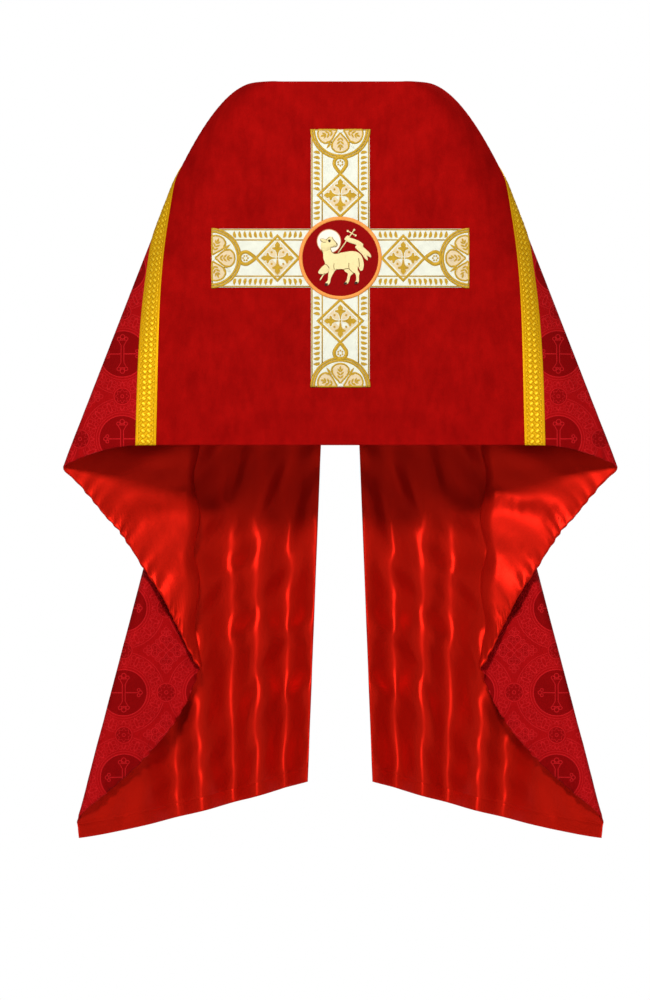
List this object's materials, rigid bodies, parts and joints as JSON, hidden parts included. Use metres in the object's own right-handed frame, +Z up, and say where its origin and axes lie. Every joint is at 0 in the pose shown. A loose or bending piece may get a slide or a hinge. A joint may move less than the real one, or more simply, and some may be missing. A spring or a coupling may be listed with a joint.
{
  "type": "humeral veil",
  "caption": "Long lined shoulder veil with a plain back panel, woven cross and round lamb medallion, patterned ends falling in front in folds, and a breast clasp.",
  "frame": {"origin": "middle of the neck edge at the back, where the veil hangs on the neck and shoulders", "axes": "+X to the right as seen from behind, +Y to the front, +Z up"},
  "size_m": [0.9202, 0.2606, 1.2537],
  "materials": {
    "velvet": "deep red suede-like velvet, matt with a mottled pile",
    "damask": "red figured damask, satin figure on a duller ground",
    "lining": "bright red satin, smooth and glossy",
    "interlining": "plain unbleached canvas",
    "galloon": "gold-yellow braided galloon with a slight metallic sheen",
    "orphrey": "cream woven band with a raised gold and red figure",
    "scarlet": "dark red felted ground",
    "satin_thread": "orange-gold satin-stitched thread",
    "cream_thread": "cream embroidered thread",
    "brass": "polished brass"
  },
  "bodies": {
    "back": {"back_interlining": "interlining", "back_lining": "lining", "banner_staff": "satin_thread", "lamb": "cream_thread", "lamb_banner": "cream_thread", "lamb_halo": "satin_thread", "lamb_head": "cream_thread", "left_damask_back_wing": "damask", "left_galloon_back": "galloon", "left_orphrey_arm": "orphrey", "medallion_ground": "scarlet", "medallion_ring": "satin_thread", "orphrey_upright": "orphrey", "right_damask_back_wing": "damask", "right_galloon_back": "galloon", "right_orphrey_arm": "orphrey", "velvet_back_panel": "velvet"},
    "clasp_hook": {"clasp_hook": "brass"},
    "left_fall": {"clasp_rivet": "brass", "left_clasp_plate": "brass", "left_damask_fall": "damask", "left_fall_interlining": "interlining", "left_fall_lining": "lining", "left_galloon_front": "galloon", "left_velvet_shoulder_front": "velvet"},
    "right_fall": {"clasp_stud": "brass", "right_clasp_plate": "brass", "right_damask_fall": "damask", "right_fall_interlining": "interlining", "right_fall_lining": "lining", "right_galloon_front": "galloon", "right_velvet_shoulder_front": "velvet"}
  },
  "joints": [
    {"name": "right_fall_swing", "type": "hinge", "parent": "back", "child": "right_fall", "pos_m": [0.37908, 0.05611, -0.4005], "axis": [0.3604, -0.044, -0.9318], "range_deg": [0, 30]},
    {"name": "left_fall_swing", "type": "hinge", "parent": "back", "child": "left_fall", "pos_m": [-0.37908, 0.05611, -0.4005], "axis": [0.3604, 0.044, 0.9318], "range_deg": [0, 30]},
    {"name": "clasp_hook_swing", "type": "hinge", "parent": "left_fall", "child": "clasp_hook", "pos_m": [-0.034, 0.1535, -0.222], "axis": [0, -1, 0], "range_deg": [0, 90]}
  ]
}
